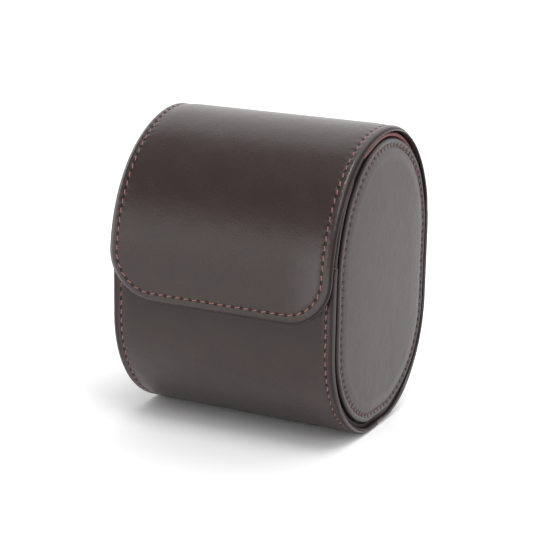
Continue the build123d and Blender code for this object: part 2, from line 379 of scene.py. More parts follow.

# %% [markdown]
# ## Waxed polyester thread
#
# The thread is a twisted, waxed polyester cord in red brown. Its plies cross it at a slant. They
# are thinner than a pixel of a normal render, so they are drawn about twice as coarse as they are.
# Real plies could be modelled, but hundreds of stitches would cost too many faces, and a slanted
# band of colour and bump looks the same; the darker colour in the grooves between plies is painted
# shade. Towards its holes a stitch darkens with painted shade, as it dives from the light.

# %% The thread material
PLY_PITCH, WHIP_PITCH = 0.7, 1.0
PLY_DEEP = 0.12 * MM
HOLE_FADE, THREAD_IN_HOLE = 0.3, "#451b1e"


def waxed_thread(name, colour, groove, pitch, open_half=None):
    """Twisted thread; the map `thread` runs in millimetres along it and in turns round it.

    Past `open_half` from a stitch's middle the thread goes down its hole and darkens with painted
    shade.
    """
    made, tree, shader = material(name)
    run = read_map(tree, "thread")
    twist = maths(tree, "ADD", maths(tree, "MULTIPLY", run[0], 1 / pitch), run[1])
    ply = soft_ramp(tree, maths(tree, "PINGPONG", twist, 0.5), 0.0, 0.28)
    # Painted shade: the grooves between the plies take the darker colour
    tone = tinted(tree, ply, groove, colour)
    if open_half:
        away = maths(tree, "ABSOLUTE", run[0])
        down = soft_ramp(tree, away, open_half - HOLE_FADE, open_half + HOLE_FADE)
        tone = tinted(tree, down, tone, THREAD_IN_HOLE)
    normal = bump(tree, 0.8, PLY_DEEP, ply)
    wire(tree, shader, {"Base Color": tone, "Normal": normal, "Roughness": 0.42})
    return made


# Waxed thread for the strip's seams, a finer one for the ends, and a darker one round the welt
seam_thread = waxed_thread("waxed_thread_red_brown", "#b0746a", "#74403f", PLY_PITCH, 0.95)
fine_thread = waxed_thread("fine_thread_red_brown", "#9c615e", "#5c3230", PLY_PITCH, 0.7)
welt_thread = waxed_thread("whipped_thread_red_brown", "#83423e", "#301414", WHIP_PITCH)

# %% [markdown]
# ## Cutting a sheet flat
#
# A maker cuts leather flat and marks the line of stitches parallel to the edge. `Cut` is that flat
# shape: straight sides, a square start and two rounded corners at the far end. A place on it is
# (q, d): q is how far along the line of stitches, and d how far in from the edge. An outline drawn
# as a mesh would do for the leather alone; this rule also says where each stitch goes.


# %% The flat shape of a sheet
# Steps round a corner are this share of those along a side
CORNER_STEP = 0.7


class Cut:
    """A flat sheet: half its width, its length, its corner radius and the seam's distance in."""

    def __init__(self, half, length, corner, seam_in):
        self.half, self.end, self.corner, self.seam_in = half, length, corner, seam_in
        side = length - corner
        turn = (corner - seam_in) * math.pi / 2
        self.marks = np.cumsum([0, side, turn, 2 * (half - corner), turn, side])
        self.seam_length = self.marks[-1]

    def stations(self, step):
        """Values of q at even steps that meet every change of direction."""
        steps = (step, step * CORNER_STEP, step, step * CORNER_STEP, step)
        runs = [
            np.linspace(start, stop, math.ceil((stop - start) / size) + 1)[1:]
            for start, stop, size in zip(self.marks, self.marks[1:], steps)
        ]
        self.counts = [len(run) for run in runs]
        return np.r_[0, np.concatenate(runs)]

    def flat(self, q, d):
        """(x, t) on the flat sheet of places (q, d)."""
        core, low, edge = self.half - self.corner, self.end - self.corner, self.half - d
        reach = self.corner - d
        turn = self.corner - self.seam_in
        m = self.marks
        first, second = (q - m[1]) / turn, (q - m[3]) / turn
        runs = [q <= m[1], q <= m[2], q <= m[3], q <= m[4]]
        across = core - (q - m[2])
        x = [edge, core + reach * np.cos(first), across, -core - reach * np.sin(second)]
        t = [q, low + reach * np.sin(first), self.end - d, low + reach * np.cos(second)]
        return np.select(runs, x, -edge), np.select(runs, t, low - (q - m[4]))


FLAP_CORNER, FLAP_HALF = 16.0, 39.9
flap_cut = Cut(half=FLAP_HALF, length=back_and_flap.length, corner=FLAP_CORNER, seam_in=3.3)
front_cut = Cut(half=HALF_LENGTH, length=front_panel.length, corner=10.0, seam_in=3.1)
print("seam of back and flap, mm:", flap_cut.seam_length)

# %% [markdown]
# ## Small tools for meshes
#
# A plain grid is the start of every sheet, ribbon and tube here. `grid` lays one down and says
# which column and row each vertex is in, so that its place can be worked out with numpy. Then the
# mesh is merged, its normals are turned outwards and it becomes an object.


# %% Grid, maps and the finished object
MERGE = 0.002


def smooth_step(value):
    """0 below 0, 1 above 1, and smooth between."""
    value = np.clip(value, 0, 1)
    return value * value * (3 - 2 * value)


def grid(bm, columns, rows):
    """A grid of that many faces each way: its vertices, and the column and row of each."""
    made = bmesh.ops.create_grid(bm, x_segments=columns, y_segments=rows, size=0.5)["verts"]
    place = np.array([v.co for v in made])
    column = np.rint((place[:, 0] + 0.5) * columns).astype(int)
    row = np.rint((place[:, 1] + 0.5) * rows).astype(int)
    return made, column, row


def move(vertices, places):
    """Puts each vertex at its place."""
    for vertex, place in zip(vertices, places.tolist()):
        vertex.co = place


def write_map(bm, name, vertices, u, v):
    """Writes a UV map for the faces of these vertices."""
    layer = bm.loops.layers.uv.get(name) or bm.loops.layers.uv.new(name)
    values = {vertex: pair for vertex, pair in zip(vertices, zip(u.tolist(), v.tolist()))}
    for face in {f for vertex in vertices for f in vertex.link_faces}:
        for corner in face.loops:
            corner[layer].uv = values[corner.vert]


def closed(bm, merge=MERGE):
    """The mesh with its doubles merged and a face over every open border."""
    bmesh.ops.remove_doubles(bm, verts=bm.verts, dist=merge)
    border = [e for e in bm.edges if e.is_boundary]
    bmesh.ops.holes_fill(bm, edges=border, sides=0)
    return bm


def finished(bm, name, finish, sharp=40):
    """The mesh in metres as an object at the origin, its normals outwards."""
    bmesh.ops.scale(bm, vec=(MM, MM, MM), verts=bm.verts)
    bmesh.ops.recalc_face_normals(bm, faces=bm.faces)
    mesh = bpy.data.meshes.new(name)
    bm.to_mesh(mesh)
    bm.free()
    mesh.shade_smooth()
    mesh.set_sharp_from_angle(angle=math.radians(sharp))
    mesh.materials.append(finish)
    made = bpy.data.objects.new(name, mesh)
    bpy.context.scene.collection.objects.link(made)
    print(name, len(mesh.polygons), "faces,", "closed" if all_closed(mesh) else "OPEN")
    return made


def all_closed(mesh):
    """True if every edge has two faces."""
    uses = np.zeros(len(mesh.edges), int)
    index = np.zeros(len(mesh.loops), int)
    mesh.loops.foreach_get("edge_index", index)
    np.add.at(uses, index, 1)
    return bool((uses == 2).all())


# %% [markdown]
# ## A sheet with a worked edge
#
# The border of a sewn sheet is a ribbon that runs along the seam. Its profile, a list of (d, h),
# gives the rounded edge, the dip along the stitches and the swell inside it. At the corners the
# ribbon turns about one point, because it is as wide as the corner radius. The middle is a plain
# grid that shares the ribbon's inner vertices.
#
# A flat sheet with a Solidify and a Bevel modifier would be quicker, but its edge would be the same
# all round, with no dip under the thread and no hem.


# %% Painted light across a worked edge
NO_PAINTED_LIGHT = [(0, 0), (1, 0)]
PAINTED_LIGHT_BELOW = 0.3
PAINTED_LIGHT_CLEAR, PAINTED_LIGHT_FADE = 0.3, 1.5


def no_painted_light(x, t):
    """No painted light or shade anywhere."""
    return 0 * x


def painted_light_along(painted_light, d, h, seam):
    """The painted light of each point of a profile, from (mm past the seam, value) marks on its
    outline.
    """
    run = np.r_[0, np.cumsum(np.hypot(np.diff(d), np.diff(h)))]
    run -= run[np.argmax(d <= seam)]
    return np.interp(run, *np.array(painted_light).T)


# %% The sheet
def sewn_sheet(name, cut, profile, wrap, finish, painted_light=NO_PAINTED_LIGHT, painted_light_at=no_painted_light, step=1.2):
    """A closed sheet: cut flat, its border worked to `profile`, then bent by `wrap`.

    The painted light and shade across the border is fainter along the bottom edge than down the
    sides. The function after it paints light and shade at each flat place (x, t) inside the line of
    stitches.
    """
    bm = bmesh.new()
    q = cut.stations(step)
    d, h = np.array(profile).T
    ribbon, i, j = grid(bm, len(q) - 1, len(d) - 1)
    x, t = cut.flat(q[i], d[j])
    past = d[j] - cut.seam_in
    stitches = round(cut.seam_length / STITCH_PITCH)
    # Painted light and shade across the border, fainter along the bottom edge; inside the stitches
    # the painted light of each flat place fades in
    sideways = smooth_step((np.abs(x) - cut.half + cut.corner) / (cut.corner - cut.seam_in))
    marks = painted_light_along(painted_light, d, h, cut.seam_in)[j] * (PAINTED_LIGHT_BELOW + (1 - PAINTED_LIGHT_BELOW) * sideways)
    inside = smooth_step((past - PAINTED_LIGHT_CLEAR) / PAINTED_LIGHT_FADE)
    write_map(bm, "flat", ribbon, x, t)
    write_map(bm, "seam", ribbon, q[i] * stitches / cut.seam_length, past)
    write_map(bm, "painted_light", ribbon, marks + inside * painted_light_at(x, t), 0 * past)
    places = [np.stack([x, t, h[j]], 1)]
    vertices = list(ribbon)
    rows = q[: cut.counts[0] + 1]
    start = sum(cut.counts[:2])
    columns = cut.marks[2] - q[start : start + cut.counts[2] + 1] + cut.half - cut.corner
    for level in (h[0], h[-1]):
        middle, i, j = grid(bm, len(columns) - 1, len(rows) - 1)
        x, t = columns[i], rows[j]
        write_map(bm, "flat", middle, x, t)
        write_map(bm, "seam", middle, 0 * x, 0 * t + cut.corner)
        write_map(bm, "painted_light", middle, painted_light_at(x, t), 0 * t)
        places.append(np.stack([x, t, np.full(len(i), level)], 1))
        vertices += middle
    move(vertices, np.vstack(places))
    closed(bm)
    move(bm.verts, wrap(*np.array([v.co for v in bm.verts]).T))
    return finished(bm, name, finish)


# %% [markdown]
# ## How the sheets bend round the case
#
# The flap is cut a little narrower than the body towards its tip, so that it closes without rubbing
# on the rims. The front panel narrows to a tongue where it turns over the lip, because the inside
# is narrower than the outside. At the joint under the base both sheets are equally wide.
#
# The cut edges differ too. Along the back the inner side of the edge is rounded off. Along the
# front the leather is turned in, and the turned hem lies a little behind the edge. On the flap
# neither is so, because there its lining and its own hem finish the edge. A Curve modifier could
# bend a flat sheet, but it couldn't change the width and the hem on the way.

# %% How the two sheets bend round the case
BACK_HALF = HALF_LENGTH + 0.85
TIP_HALF, TIP_SHIFT = 40.25, -0.35
FRONT_HALF, FRONT_SHIFT = HALF_LENGTH + 0.12, -0.14
TONGUE_HALF = 34.9
NARROWS_BEFORE_CROWN, NARROWS_OVER = 15, 40
ROUND_BEFORE_FOLD, ROUND_OVER = 12, 10
LIP_BEFORE, LIP_OVER = 1.0, 2.6
HEM_STEP, HEM_FROM, HEM_OVER = 1.2, 0.95, 0.25
JOIN_BLEND = 24
ROUND_FROM, ROUND_SIZE = 0.85, 0.97
print("half widths of back, tip, front and tongue:", BACK_HALF, TIP_HALF, FRONT_HALF, TONGUE_HALF)


def set_back(x, h, half, share):
    """The turned hem, set back behind the cut edge of the sheet, as far as `share` says."""
    behind = HEM_STEP * share * smooth_step((-h - HEM_FROM) / HEM_OVER)
    return np.sign(x) * (half - np.hypot(half - np.abs(x), behind))


def rounded_in(x, h, half, share):
    """The inner side of an edge, rounded off as far as `share` says."""
    deep = np.clip((-h - ROUND_FROM) / ROUND_SIZE, 0, 1)
    behind = ROUND_SIZE * share * (1 - np.sqrt(1 - deep * deep))
    return np.sign(x) * (half - np.maximum(half - np.abs(x), behind))


def wrap_flap(x, t, h):
    """Flat (x, t, h) of the back and flap, bent round the oval."""
    late = smooth_step((t - CROWN_AT + NARROWS_BEFORE_CROWN) / NARROWS_OVER)
    on_flap = smooth_step((t - FOLD_AT + ROUND_BEFORE_FOLD) / ROUND_OVER)
    x = rounded_in(x, h, flap_cut.half, 1 - on_flap)
    wide = BACK_HALF * (1 - late) + TIP_HALF * late
    wide = (wide + (FRONT_HALF - wide) * (1 - smooth_step(t / JOIN_BLEND))) / flap_cut.half
    return back_and_flap.places(x * wide + TIP_SHIFT * late, t, h)


def wrap_front(x, t, h):
    """Flat (x, t, h) of the front panel, bent up the front and over the lip."""
    narrow = smooth_step((t - LIP_AT + LIP_BEFORE) / LIP_OVER)
    half = FRONT_HALF * (1 - narrow) + TONGUE_HALF * narrow
    x = set_back(x, h, front_cut.half, smooth_step(t / JOIN_BLEND) * (1 - narrow))
    return front_panel.places(x * half / front_cut.half + FRONT_SHIFT * (1 - narrow), t, h)


# %% [markdown]
# ## The back and flap leather
#
# One sheet of leather starts under the base, covers the back, folds at the top of the back and
# comes over the crown as the flap. Its edge has painted highlights and painted shade, and its lower
# right corner a painted highlight.

# %% Back and flap leather
SEAM_DIP = 0.5
flap_profile = [
    (16, 0), (13, 0), (10.7, 0), (9.0, -0.01), (7.8, -0.035), (6.9, -0.07), (6.1, -0.115),
    (5.4, -0.165), (4.8, -0.22), (4.3, -0.28), (3.95, -0.34), (3.68, -0.405), (3.45, -0.47),
    (3.3, -SEAM_DIP), (3.15, -0.46), (2.9, -0.36), (2.6, -0.27), (2.3, -0.215), (2.05, -0.2),
    (1.8, -0.225), (1.56, -0.3), (1.33, -0.42), (1.12, -0.56), (0.92, -0.72), (0.73, -0.89),
    (0.55, -1.06), (0.38, -1.22), (0.22, -1.38), (0.08, -1.52), (0.02, -1.62), (0.1, -1.73),
    (0.24, -1.79), (0.45, -1.82), (1.2, -1.82), (2.6, -1.8), (3.3, -1.74), (3.8, -1.8),
    (4.3, -1.82), (4.6, -1.76), (4.7, -1.5), (5.2, -1.0), (8.0, -1.0), (16, -1.0),
]  # fmt: skip
# Painted light across the flap's edge: painted highlights on the ridge and the edge, painted shade
# on the shoulder between
flap_edge_light = [
    (0.2, 0), (1.3, 0.2), (2.2, 0.25), (2.5, -0.05), (2.7, -0.26), (3.3, -0.26), (3.6, 0.1),
    (3.9, 0.25), (6.6, 0.25), (7.2, 0),
]  # fmt: skip
# A painted highlight near the flap's lower right corner
CORNER_HIGHLIGHT = 0.42
HIGHLIGHT_FROM_X, HIGHLIGHT_OVER_X = 23, 14
HIGHLIGHT_FROM_EDGE, HIGHLIGHT_OVER = 38, 26


def flap_corner_highlight(x, t):
    """The painted highlight: (x, t) from where it starts to the lower right corner, where it is
    full.
    """
    sideways = smooth_step((x - HIGHLIGHT_FROM_X) / HIGHLIGHT_OVER_X)
    downwards = smooth_step((t - flap_cut.end + HIGHLIGHT_FROM_EDGE) / HIGHLIGHT_OVER)
    return CORNER_HIGHLIGHT * sideways * downwards


flap_leather = sewn_sheet(
    "back_and_flap_leather",
    flap_cut,
    flap_profile,
    wrap_flap,
    strip_leather,
    flap_edge_light,
    flap_corner_highlight,
)

# %% [markdown]
# ## The front leather
#
# The front panel is a sheet of its own, because the leather that comes over the top ends at the
# flap's edge. One sheet all the way round couldn't open. Its bottom edge meets the back's under the
# base. It is worked like the back, with an edge of its own and its own painted light: a painted
# sheen near the base, and painted shade higher up.

# %% The body's front leather
FRONT_DIP = 0.46
front_profile = [
    (10, 0), (8.6, -0.005), (7.4, -0.02), (6.6, -0.045), (5.9, -0.08), (5.3, -0.13), (4.7, -0.19),
    (4.2, -0.25), (3.8, -0.32), (3.45, -0.39), (3.25, -0.44), (3.1, -0.46), (2.95, -0.44),
    (2.7, -0.36), (2.35, -0.27), (2.0, -0.2), (1.6, -0.17), (1.25, -0.19), (0.95, -0.24),
    (0.7, -0.31), (0.48, -0.4), (0.3, -0.5), (0.15, -0.6), (0.05, -0.7), (0.02, -0.8),
    (0.04, -0.92), (0.05, -1.1), (0.06, -1.3), (0.08, -1.5), (0.12, -1.65), (0.22, -1.74),
    (0.4, -1.78), (4.5, -1.78), (4.7, -1.5), (5.2, -1.0), (8.0, -1.0), (10, -1.0),
]  # fmt: skip
# Painted light across the front's edge: painted shade on the shoulder and the hem, a painted
# highlight at the edge
front_edge_light = [
    (0.2, 0), (0.9, 0.05), (1.5, -0.12), (2.2, -0.2), (2.6, 0.1), (2.9, 0.35), (3.25, 0.3),
    (3.5, -0.2), (7, -0.2), (8, 0),
]  # fmt: skip
# Painted light by height: a painted sheen near the base, painted shade higher up
FRONT_LIGHT_BY_HEIGHT = [(18, 0.08), (34, 0.15), (46, 0.06), (56, -0.04), (64, -0.09)]


def front_light_by_height(x, t):
    """Painted light by height: (mm from the joint under the base, value); painted shade higher up.
    """
    return np.interp(t, *np.array(FRONT_LIGHT_BY_HEIGHT).T)


front_leather = sewn_sheet(
    "front_leather", front_cut, front_profile, wrap_front, strip_leather, front_edge_light, front_light_by_height
)
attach(front_leather, "case")
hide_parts("body_leather")
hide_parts("flap_leather")

# %% [markdown]
# ## Saddle stitches
#
# Saddle stitching is done by hand with two needles. Each stitch goes from hole to hole and its ends
# dive into the leather. The awl's slits lean, so each stitch lies at a slant to the seam. One
# stitch is a small stretched sphere of a few dozen faces, laid out along the flat seam and then
# bent with the leather that it holds. A picture of stitches would lie flat in the light.

# %% Stitches
STITCH_LENGTH, END_STITCH_LENGTH = 2.8, 1.9
THREAD_WIDTH, FINE_WIDTH, INSIDE_WIDTH = 0.47, 0.4, 0.35
STITCH_SLANT = math.tan(math.radians(11))
STITCH_BLUNT, STITCH_DIVE = 0.22, 0.5
THREAD_PROUD, END_THREAD_PROUD = 0.04, 0.12


def one_stitch(length, width):
    """One stitch along X: full in the middle, its ends dipping down."""
    bm = bmesh.new()
    bmesh.ops.create_uvsphere(bm, u_segments=8, v_segments=8, radius=1)
    bmesh.ops.rotate(bm, matrix=Matrix.Rotation(math.pi / 2, 3, "Y"), verts=bm.verts)
    for vertex in bm.verts:
        run, side, up = vertex.co
        full = max(1 - run * run, 1e-4) ** -STITCH_BLUNT
        vertex.co = (
            run * length / 2,
            side * full * width / 2 - run * STITCH_SLANT * length / 2,
            up * full * width / 2 - STITCH_DIVE * abs(run) ** 3,
        )
    mesh = bpy.data.meshes.new("one_stitch")
    bm.to_mesh(mesh)
    bm.free()
    return mesh


def stitch_row(
    name,
    centres,
    depth_in,
    height,
    wrap,
    finish=seam_thread,
    length=STITCH_LENGTH,
    width=THREAD_WIDTH,
):
    """Stitches centred at these places along a seam; `wrap` bends (q, d, h) round the case."""
    pattern = one_stitch(length, width)
    bm = bmesh.new()
    for _ in centres:
        bm.from_mesh(pattern)
    place = np.array([v.co for v in bm.verts])
    centre = np.repeat(np.asarray(centres), len(pattern.vertices))
    bm.verts.ensure_lookup_table()
    turn = np.arctan2(place[:, 1] + place[:, 0] * STITCH_SLANT, place[:, 2]) / math.tau
    write_map(bm, "thread", list(bm.verts), place[:, 0], turn)
    places = wrap(place[:, 0] + centre, depth_in + place[:, 1], height + place[:, 2])
    move(bm.verts, places)
    bpy.data.meshes.remove(pattern)
    return finished(bm, name, finish, sharp=180)


def stitch_centres(seam_length, pitch, start=0.0):
    """The middle of each stitch between holes at even steps, `start` away from both ends."""
    count = round(seam_length / pitch)
    even = (np.arange(count) + 0.5) * seam_length / count
    return even[np.minimum(even, seam_length - even) > start]


def on_sheet(cut, wrap):
    """A wrap for places (q, d, h) on a cut sheet."""

    def place(q, d, h):
        x, t = cut.flat(q, d)
        return wrap(x, t, h)

    return place


flap_centres = stitch_centres(flap_cut.seam_length, STITCH_PITCH)
flap_seam = on_sheet(flap_cut, wrap_flap)
flap_stitches = stitch_row(
    "back_and_flap_stitches", flap_centres, flap_cut.seam_in, THREAD_PROUD - SEAM_DIP, flap_seam
)
front_centres = stitch_centres(front_cut.seam_length, STITCH_PITCH)
front_seam = on_sheet(front_cut, wrap_front)
front_stitches = stitch_row(
    "front_stitches", front_centres, front_cut.seam_in, THREAD_PROUD - FRONT_DIP, front_seam
)
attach(front_stitches, "case")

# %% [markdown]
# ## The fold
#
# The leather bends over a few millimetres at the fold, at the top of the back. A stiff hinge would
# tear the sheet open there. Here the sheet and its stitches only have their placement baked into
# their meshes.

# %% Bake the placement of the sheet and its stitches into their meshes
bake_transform(flap_leather)
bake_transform(flap_stitches)

# %% [markdown]
# ## Suede lining
#
# The inside is lined with pigskin suede, which is buffed to a short nap. It has no shine. The nap
# lies in patches that look lighter or darker, and at the rim of the light it glows a little. Hairs
# would be far too many, so two sizes of noise and a little sheen stand for the nap.

# %% The suede material
SUEDE_PATCHES, SUEDE_NAP = 110.0, 2600.0
NAP_DEEP = 0.15 * MM


def suede(name, colour, light):
    """Buffed suede: matt, mottled, with a soft edge glow."""
    made, tree, shader = material(name)
    where = add(tree, "ShaderNodeTexCoord")["Object"]
    brushed = ramp(tree, noise(tree, where, SUEDE_PATCHES, 3.0), 0.35, 0.65)
    nap = {
        "Base Color": tinted(tree, brushed, colour, light),
        "Normal": bump(tree, 0.5, NAP_DEEP, noise(tree, where, SUEDE_NAP, 2.0)),
        "Roughness": 0.95,
        "Sheen Weight": 0.3,
        "Sheen Roughness": 0.5,
    }
    wire(tree, shader, nap)
    return made


# Suede for the linings, and a slightly paler one for the pillow
suede_lining = suede("pigskin_suede_taupe", "#6b5547", "#7a6252")
pillow_suede = suede("pillow_suede_taupe", "#75604f", "#86705d")

# %% [markdown]
# The flap's lining is glued and sewn to the leather at the border, where both edges show one over
# the other, and it rises over the stiffening board inside.

# %% Flap lining
PAST_FOLD = 1.2
HEM = 4.4
INSIDE_DIP = 1.74
flap_back = back_top(0, CROWN)
flap_inside = Path(
    [
        flap_back[flap_back[:, 1] > FOLD_POINT[1] + PAST_FOLD],
        front_top(0, CROWN, FLAP_FRONT),
        [(-FLAP_FRONT, FLAP_EDGE)],
    ]
)
INSIDE_START = back_and_flap.length - flap_inside.length
lining_cut = Cut(
    half=FLAP_HALF - HEM, length=flap_inside.length - HEM, corner=FLAP_CORNER - HEM, seam_in=1.5
)
flap_lining_profile = [
    (11.6, -2.05), (3.0, -2.05), (1.2, -1.98), (0.4, -1.87), (0.08, -1.87), (0.0, -1.95),
    (0.03, -2.08), (0.15, -2.25), (0.4, -2.45), (0.8, -2.62), (1.4, -2.73), (2.2, -2.78),
    (3.5, -2.8), (6, -2.8), (11.6, -2.8),
]  # fmt: skip


def wrap_flap_inside(x, t, h):
    """The same bend for the lining, which starts just past the fold."""
    return wrap_flap(x, t + INSIDE_START, h)


flap_lining = sewn_sheet(
    "flap_suede_lining", lining_cut, flap_lining_profile, wrap_flap_inside, suede_lining
)
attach(flap_lining, "flap")
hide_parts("flap_lining")
inside_stitches = stitch_row(
    "flap_inside_stitches",
    stitch_centres(flap_cut.seam_length, STITCH_PITCH, INSIDE_START),
    flap_cut.seam_in,
    -INSIDE_DIP,
    flap_seam,
    width=INSIDE_WIDTH,
)
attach(inside_stitches, "flap")

# %% [markdown]
# The body's lining starts under the turned lip and runs down the front, along the base and up the
# back to the fold. It is one strip, glued to the board, so it is one sheet here too.

# %% Body lining
LINING_OUT, LINING_IN = -2.55, -3.2
LINING_HALF = 34.95
BEFORE_FOLD = 0.6
lining_run = Path(
    [
        front_top(0, CROWN, HALF_DEPTH, angle_at(LIP_END, CROWN - FRONT_SPRING), 180),
        lower(-1, 0)[::-1],
        lower(1, 0),
        flap_back[flap_back[:, 1] < FOLD_POINT[1] - BEFORE_FOLD],
    ]
)
body_lining_cut = Cut(half=LINING_HALF, length=lining_run.length, corner=4.0, seam_in=1.5)


def wrap_body_lining(x, t, h):
    """The lining's bend along the inside of the body."""
    return lining_run.places(x, t, h)


body_lining_profile = [
    (4, LINING_IN), (1.2, LINING_IN), (0.5, LINING_IN + 0.04), (0.15, LINING_IN + 0.15),
    (0, LINING_IN + 0.32), (0.1, LINING_OUT), (4, LINING_OUT),
]  # fmt: skip
body_lining = sewn_sheet(
    "body_suede_lining",
    body_lining_cut,
    body_lining_profile,
    wrap_body_lining,
    suede_lining,
    step=1.6,
)
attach(body_lining, "case")
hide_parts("body_lining")

# %% [markdown]
# ## The rim above the lip
#
# In front, the leather rim of each end goes on above the lip. The closed flap lies over it, and
# only a thin bright line of it shows beside the flap. It stays clear of the flap's inner face and
# sinks away near the crown, where the welt comes into sight.
#
# Rims, rings, bindings and welts are all a profile swept along a line. A curve with a bevel object
# could do that, but a swept grid keeps its maps and can change its height on the way.


# %% A ribbon swept along a seam
FAR_FROM_HOLES = 5


def sweep(name, q, profile, place, finish, maps="leather", painted_light=None):
    """A closed profile of (d, h) swept through stations q; a loop closes on itself."""
    bm = bmesh.new()
    d, h = np.array(profile).T
    vertices, i, j = grid(bm, len(q) - 1, len(d) - 1)
    if maps == "leather":
        write_map(bm, "flat", vertices, q[i], d[j] - h[j])
        write_map(bm, "seam", vertices, 0 * q[i], 0 * d[j] + FAR_FROM_HOLES)
        write_map(bm, "painted_light", vertices, (0 * q if painted_light is None else painted_light)[i], 0 * q[i])
    else:
        write_map(bm, "thread", vertices, q[i], j / (len(d) - 1))
    move(vertices, place(q[i], d[j], h[j]))
    return finished(closed(bm), name, finish)


# %% The rims above the lip
RIM_THICK, RIM_THIN, RIM_OUT = 1.8, 0.2, 0.3
UNDER_FLAP = 0.32
RIM_START, START_INSET, START_OVER = 3.2, 0.8, 2.6
THIN_OVER, SINK_OVER, RIM_SINK = 6, 7, 1.6
RIM_STATIONS = 40
flap_outer = front_top(0, CROWN, FLAP_FRONT)
rim_curve = front_top(0, CROWN, HALF_DEPTH, 180, 90)
rim_curve = rim_curve[(rim_curve[:, 1] > LIP_TOP - RIM_START) & (rim_curve[:, 1] < RIM_TOP)]
rim_path = Path([rim_curve], out=-1)
rim_stations = np.linspace(0, rim_path.length, RIM_STATIONS)
rim_line = np.stack(rim_path.at(rim_stations, 0 * rim_stations), 1)
to_flap = np.array([np.hypot(*(flap_outer - place).T).min() for place in rim_line])
rim_inset = np.maximum(0, RIM_THICK + UNDER_FLAP - to_flap)
rim_inset = np.maximum(rim_inset, START_INSET * (1 - smooth_step(rim_stations / START_OVER)))
thinned = smooth_step((rim_stations - rim_path.length + THIN_OVER) / THIN_OVER)
rim_inset += (RIM_THICK - RIM_THIN - rim_inset) * thinned
rim_sink = RIM_SINK * smooth_step((rim_stations - rim_path.length + SINK_OVER) / SINK_OVER)
rim_profile = [
    (4.6, 0), (1.1, 0), (0.7, -0.06), (0.4, -0.16), (0.18, -0.3), (0.05, -0.47), (0.0, -0.65),
    (0.06, -0.83), (0.3, -0.95), (1.2, -1.0), (1.35, -1.15), (1.4, -1.8), (4.6, -1.8), (4.6, 0),
]  # fmt: skip
for side, word in SIDES:

    def rim_place(q, d, h):
        """Places on the rim: as thick as the room under the flap allows."""
        inset = np.interp(q, rim_stations, rim_inset)
        out = HALF_LENGTH - RIM_OUT - np.interp(q, rim_stations, rim_sink)
        height = -inset + h * (RIM_THICK - inset) / RIM_THICK
        return rim_path.places(side * (out - d), q, height)

    rim = sweep(word + "_rim_above_lip", rim_stations, rim_profile, rim_place, plain_leather)
    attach(rim, "case")

# %% [markdown]
# ## The two ends
#
# Each end is a board with foam on it, covered in leather that is sewn down all round. Outside the
# stitches the leather stands up as a rolled rim; inside them it swells into a low cushion. The oval
# below is the line of stitches, and everything on an end is placed from it: d inwards, h outwards
# from the board. A sheet over foam could be simulated, but a profile round the oval, drawn in to
# its middle, gives the same cushion and stays exactly where the seam is.
#
# At the back the cover is pulled closer to the strip, and its rim stands higher. There it also has
# a painted sheen.

# %% The oval of an end
SEAM_INSET, WELT_INSET = 6.2, 2.75


def end_path(inset):
    """The closed oval of an end, that far inside the strip's outer face."""
    return Path(
        [
            lower(1, inset),
            back_top(inset, END_CROWN),
            front_top(inset, END_CROWN, HALF_DEPTH),
            lower(-1, inset)[::-1],
        ]
    )


BACK_FROM, BACK_OVER = 4, 24
BACK_SHIFT, BACK_LIFT = 1.6, 0.5
LIFTED = [(0, 0), (2.4, 1), (2.8, 1), (3.2, 0)]


def end_wrap(path, side):
    """A wrap for places (q, d, h) on the right (1) or left (-1) end; LIFTED is (h, share)."""

    def place(q, d, h):
        y, z = path.at(q, -d)
        back = smooth_step((y - BACK_FROM) / BACK_OVER)
        lift = BACK_LIFT * back * np.interp(h, *np.array(LIFTED).T)
        return np.stack([side * (END_FACE + h + lift), y + BACK_SHIFT * back, z], 1)

    return place


# %% A padded oval
# Painted light on the ends: painted shade on the rim's outer flank and a painted highlight on its
# crest; by Y, a painted sheen towards the back
COVER_RIM_LIGHT = [(-4.4, -0.4), (-2.9, -0.4), (-2.3, -0.1), (-1.8, 0.15), (-1.1, 0.1), (-0.5, 0)]
END_LIGHT_BY_Y = [(10, -0.06), (22, -0.04), (29, 0.08), (35, 0.3)]
END_CENTRE = (0.5, 50.5)
LIGHT_INSIDE_FROM, LIGHT_INSIDE_OVER = 0.01, 0.03
CROWN_FROM_HOLES = 20
PAD_MERGE = 0.003


def padded_oval(name, path, rim, crown, wrap, finish, centre=END_CENTRE, step=1.0):
    """A padded oval: `rim` profile (d, h) along its seam, then `crown` (share of the way in, h).

    The rim's painted light is listed as (mm from the seam outwards along the profile, value),
    and the painted light inside the rim by Y as (Y, value).
    """
    bm = bmesh.new()
    stations = math.ceil(path.length / step)
    q = np.linspace(0, path.length, stations + 1)
    d, h = np.array(rim).T
    share, crown_h = np.array(crown).T
    vertices, i, j = grid(bm, stations, len(d) + len(share) - 1)
    on_rim = np.minimum(j, len(d) - 1)
    places = wrap(q[i], d[on_rim], np.r_[h, crown_h][j])
    inner = np.r_[np.zeros(len(d)), share][j]
    places[:, 1:] += (np.array(centre) - places[:, 1:]) * inner[:, None]
    write_map(bm, "flat", vertices, places[:, 1] + places[:, 0], places[:, 2])
    holes = q[i] * round(path.length / END_PITCH) / path.length
    write_map(bm, "seam", vertices, holes, d[on_rim] + CROWN_FROM_HOLES * inner)
    # Painted light inside the rim, by Y: slight painted shade in front, a painted sheen towards the
    # back
    inside_rim = smooth_step((inner - LIGHT_INSIDE_FROM) / LIGHT_INSIDE_OVER)
    light_by_y = inside_rim * np.interp(places[:, 1], *np.array(END_LIGHT_BY_Y).T)
    write_map(bm, "painted_light", vertices, painted_light_along(COVER_RIM_LIGHT, -d, h, 0)[on_rim] + light_by_y, 0 * q[i])
    move(vertices, places)
    return finished(closed(bm, PAD_MERGE), name, finish)


